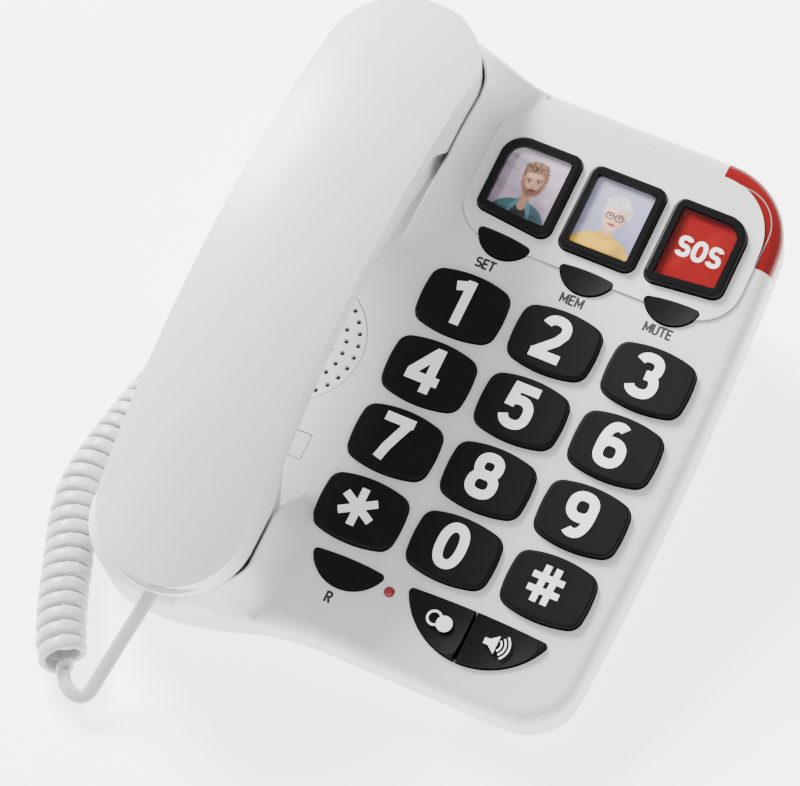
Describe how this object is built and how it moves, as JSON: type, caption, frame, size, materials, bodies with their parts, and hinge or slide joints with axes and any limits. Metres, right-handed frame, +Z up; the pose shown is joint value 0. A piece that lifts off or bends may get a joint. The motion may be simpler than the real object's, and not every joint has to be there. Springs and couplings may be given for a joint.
{
  "type": "corded telephone",
  "caption": "Corded desk telephone with a handset in a sloping base, large number keys, picture keys, a red lamp at the corner and a curly cord.",
  "frame": {"origin": "on the table, under the middle of the telephone without its cord", "axes": "+Z up, +Y from the front of the telephone to its back, +X to the user's right"},
  "size_m": [0.1849, 0.2389, 0.1044],
  "materials": {
    "shell_white": "fine satin moulded ABS",
    "tray_white": "fine satin moulded ABS",
    "foot_rubber": "matte rubber",
    "mat_rubber": "matte silicone rubber",
    "steel": "zinc plated",
    "lamp_red": "clear red polycarbonate",
    "led_red": "clear red",
    "led_strip": "small dark lamps on a strip",
    "circuit_board": "solder resist",
    "speaker_black": "paper cone and steel basket",
    "capsule_metal": "drawn can",
    "socket_black": "nylon",
    "plunger_white": "acetal",
    "knob_grey": "moulded",
    "key_black": "fine grained with polished edges",
    "photo_frame_black": "satin black",
    "clear_window": "clear acrylic",
    "portrait_paper": "printed card",
    "sos_paper": "printed card",
    "cord_white": "smooth PVC ribbon",
    "plug_clear": "clear polycarbonate"
  },
  "bodies": {
    "base": {"top_cover": "shell_white", "ear_cup": "shell_white", "mouth_cup": "shell_white", "bottom_cover": "tray_white", "rubber_feet": "foot_rubber", "cover_screws": "steel", "ring_lamp_lens": "lamp_red", "ring_lamp_leds": "led_strip", "in_use_led": "led_red", "key_mat": "mat_rubber", "key_board": "circuit_board", "main_board": "circuit_board", "base_speaker": "speaker_black", "base_microphone": "capsule_metal", "hook_spring": "steel", "hook_switch": "socket_black", "line_socket": "socket_black", "ringer_switch": "socket_black", "handset_cord_socket": "socket_black", "cord_base_plug": "plug_clear", "cord_base_tail": "cord_white", "cord_coil": "cord_white"},
    "handset": {"handset_outer_shell": "shell_white", "handset_inner_shell": "shell_white", "receiver_capsule": "capsule_metal", "handset_microphone": "capsule_metal", "handset_jack": "socket_black", "handset_screws": "steel", "cord_handset_tail": "cord_white", "cord_handset_plug": "plug_clear"},
    "hook_plunger": {"hook_plunger": "plunger_white"},
    "hook_tab": {"wall_hook_tab": "shell_white"},
    "ringer_knob": {"ringer_knob": "knob_grey"},
    "key_1": {"key_1": "key_black"},
    "key_2": {"key_2": "key_black"},
    "key_3": {"key_3": "key_black"},
    "key_4": {"key_4": "key_black"},
    "key_5": {"key_5": "key_black"},
    "key_6": {"key_6": "key_black"},
    "key_7": {"key_7": "key_black"},
    "key_8": {"key_8": "key_black"},
    "key_9": {"key_9": "key_black"},
    "key_star": {"key_star": "key_black"},
    "key_0": {"key_0": "key_black"},
    "key_hash": {"key_hash": "key_black"},
    "photo_key_1": {"photo_key_1_frame": "photo_frame_black", "photo_key_1_window": "clear_window", "photo_key_1_insert": "portrait_paper"},
    "photo_key_2": {"photo_key_2_frame": "photo_frame_black", "photo_key_2_window": "clear_window", "photo_key_2_insert": "portrait_paper"},
    "photo_key_3": {"photo_key_3_frame": "photo_frame_black", "photo_key_3_window": "clear_window", "photo_key_3_insert": "sos_paper"},
    "set_key": {"set_key": "key_black"},
    "memory_key": {"memory_key": "key_black"},
    "mute_key": {"mute_key": "key_black"},
    "recall_key": {"recall_key": "key_black"},
    "redial_key": {"redial_key": "key_black"},
    "loudspeaker_key": {"loudspeaker_key": "key_black"}
  },
  "joints": [
    {"name": "handset_lift", "type": "slide", "parent": "base", "child": "handset", "axis": [0, -0.2504, 0.9681], "range_m": [0, 0.1]},
    {"name": "hook_plunger_rise", "type": "slide", "parent": "base", "child": "hook_plunger", "axis": [0, -0.2504, 0.9681], "range_m": [0, 0.004], "deforming": ["hook_spring"]},
    {"name": "hook_tab_lift", "type": "slide", "parent": "base", "child": "hook_tab", "axis": [0, -0.2504, 0.9681], "range_m": [0, 0.012]},
    {"name": "ringer_slide", "type": "slide", "parent": "base", "child": "ringer_knob", "axis": [1, 0, 0], "range_m": [0, 0.008]},
    {"name": "key_1_press", "type": "slide", "parent": "base", "child": "key_1", "axis": [0, 0.2504, -0.9681], "range_m": [0, 0.0015], "stiffness_N_per_m": 400, "springref_m": -0.001},
    {"name": "key_2_press", "type": "slide", "parent": "base", "child": "key_2", "axis": [0, 0.2504, -0.9681], "range_m": [0, 0.0015], "stiffness_N_per_m": 400, "springref_m": -0.001},
    {"name": "key_3_press", "type": "slide", "parent": "base", "child": "key_3", "axis": [0, 0.2504, -0.9681], "range_m": [0, 0.0015], "stiffness_N_per_m": 400, "springref_m": -0.001},
    {"name": "key_4_press", "type": "slide", "parent": "base", "child": "key_4", "axis": [0, 0.2504, -0.9681], "range_m": [0, 0.0015], "stiffness_N_per_m": 400, "springref_m": -0.001},
    {"name": "key_5_press", "type": "slide", "parent": "base", "child": "key_5", "axis": [0, 0.2504, -0.9681], "range_m": [0, 0.0015], "stiffness_N_per_m": 400, "springref_m": -0.001},
    {"name": "key_6_press", "type": "slide", "parent": "base", "child": "key_6", "axis": [0, 0.2504, -0.9681], "range_m": [0, 0.0015], "stiffness_N_per_m": 400, "springref_m": -0.001},
    {"name": "key_7_press", "type": "slide", "parent": "base", "child": "key_7", "axis": [0, 0.2504, -0.9681], "range_m": [0, 0.0015], "stiffness_N_per_m": 400, "springref_m": -0.001},
    {"name": "key_8_press", "type": "slide", "parent": "base", "child": "key_8", "axis": [0, 0.2504, -0.9681], "range_m": [0, 0.0015], "stiffness_N_per_m": 400, "springref_m": -0.001},
    {"name": "key_9_press", "type": "slide", "parent": "base", "child": "key_9", "axis": [0, 0.2504, -0.9681], "range_m": [0, 0.0015], "stiffness_N_per_m": 400, "springref_m": -0.001},
    {"name": "key_star_press", "type": "slide", "parent": "base", "child": "key_star", "axis": [0, 0.2504, -0.9681], "range_m": [0, 0.0015], "stiffness_N_per_m": 400, "springref_m": -0.001},
    {"name": "key_0_press", "type": "slide", "parent": "base", "child": "key_0", "axis": [0, 0.2504, -0.9681], "range_m": [0, 0.0015], "stiffness_N_per_m": 400, "springref_m": -0.001},
    {"name": "key_hash_press", "type": "slide", "parent": "base", "child": "key_hash", "axis": [0, 0.2504, -0.9681], "range_m": [0, 0.0015], "stiffness_N_per_m": 400, "springref_m": -0.001},
    {"name": "photo_key_1_press", "type": "slide", "parent": "base", "child": "photo_key_1", "axis": [0, 0.2504, -0.9681], "range_m": [0, 0.0015], "stiffness_N_per_m": 400, "springref_m": -0.001},
    {"name": "photo_key_2_press", "type": "slide", "parent": "base", "child": "photo_key_2", "axis": [0, 0.2504, -0.9681], "range_m": [0, 0.0015], "stiffness_N_per_m": 400, "springref_m": -0.001},
    {"name": "photo_key_3_press", "type": "slide", "parent": "base", "child": "photo_key_3", "axis": [0, 0.2504, -0.9681], "range_m": [0, 0.0015], "stiffness_N_per_m": 400, "springref_m": -0.001},
    {"name": "set_key_press", "type": "slide", "parent": "base", "child": "set_key", "axis": [0, 0.2504, -0.9681], "range_m": [0, 0.0015], "stiffness_N_per_m": 400, "springref_m": -0.001},
    {"name": "memory_key_press", "type": "slide", "parent": "base", "child": "memory_key", "axis": [0, 0.2504, -0.9681], "range_m": [0, 0.0015], "stiffness_N_per_m": 400, "springref_m": -0.001},
    {"name": "mute_key_press", "type": "slide", "parent": "base", "child": "mute_key", "axis": [0, 0.2504, -0.9681], "range_m": [0, 0.0015], "stiffness_N_per_m": 400, "springref_m": -0.001},
    {"name": "recall_key_press", "type": "slide", "parent": "base", "child": "recall_key", "axis": [0, 0.2504, -0.9681], "range_m": [0, 0.0015], "stiffness_N_per_m": 400, "springref_m": -0.001},
    {"name": "redial_key_press", "type": "slide", "parent": "base", "child": "redial_key", "axis": [0, 0.2504, -0.9681], "range_m": [0, 0.0015], "stiffness_N_per_m": 400, "springref_m": -0.001},
    {"name": "loudspeaker_key_press", "type": "slide", "parent": "base", "child": "loudspeaker_key", "axis": [0, 0.2504, -0.9681], "range_m": [0, 0.0015], "stiffness_N_per_m": 400, "springref_m": -0.001}
  ],
  "couplings": [
    {"joint": "hook_plunger_rise", "follows": "handset_lift", "ratio": 0.04}
  ]
}
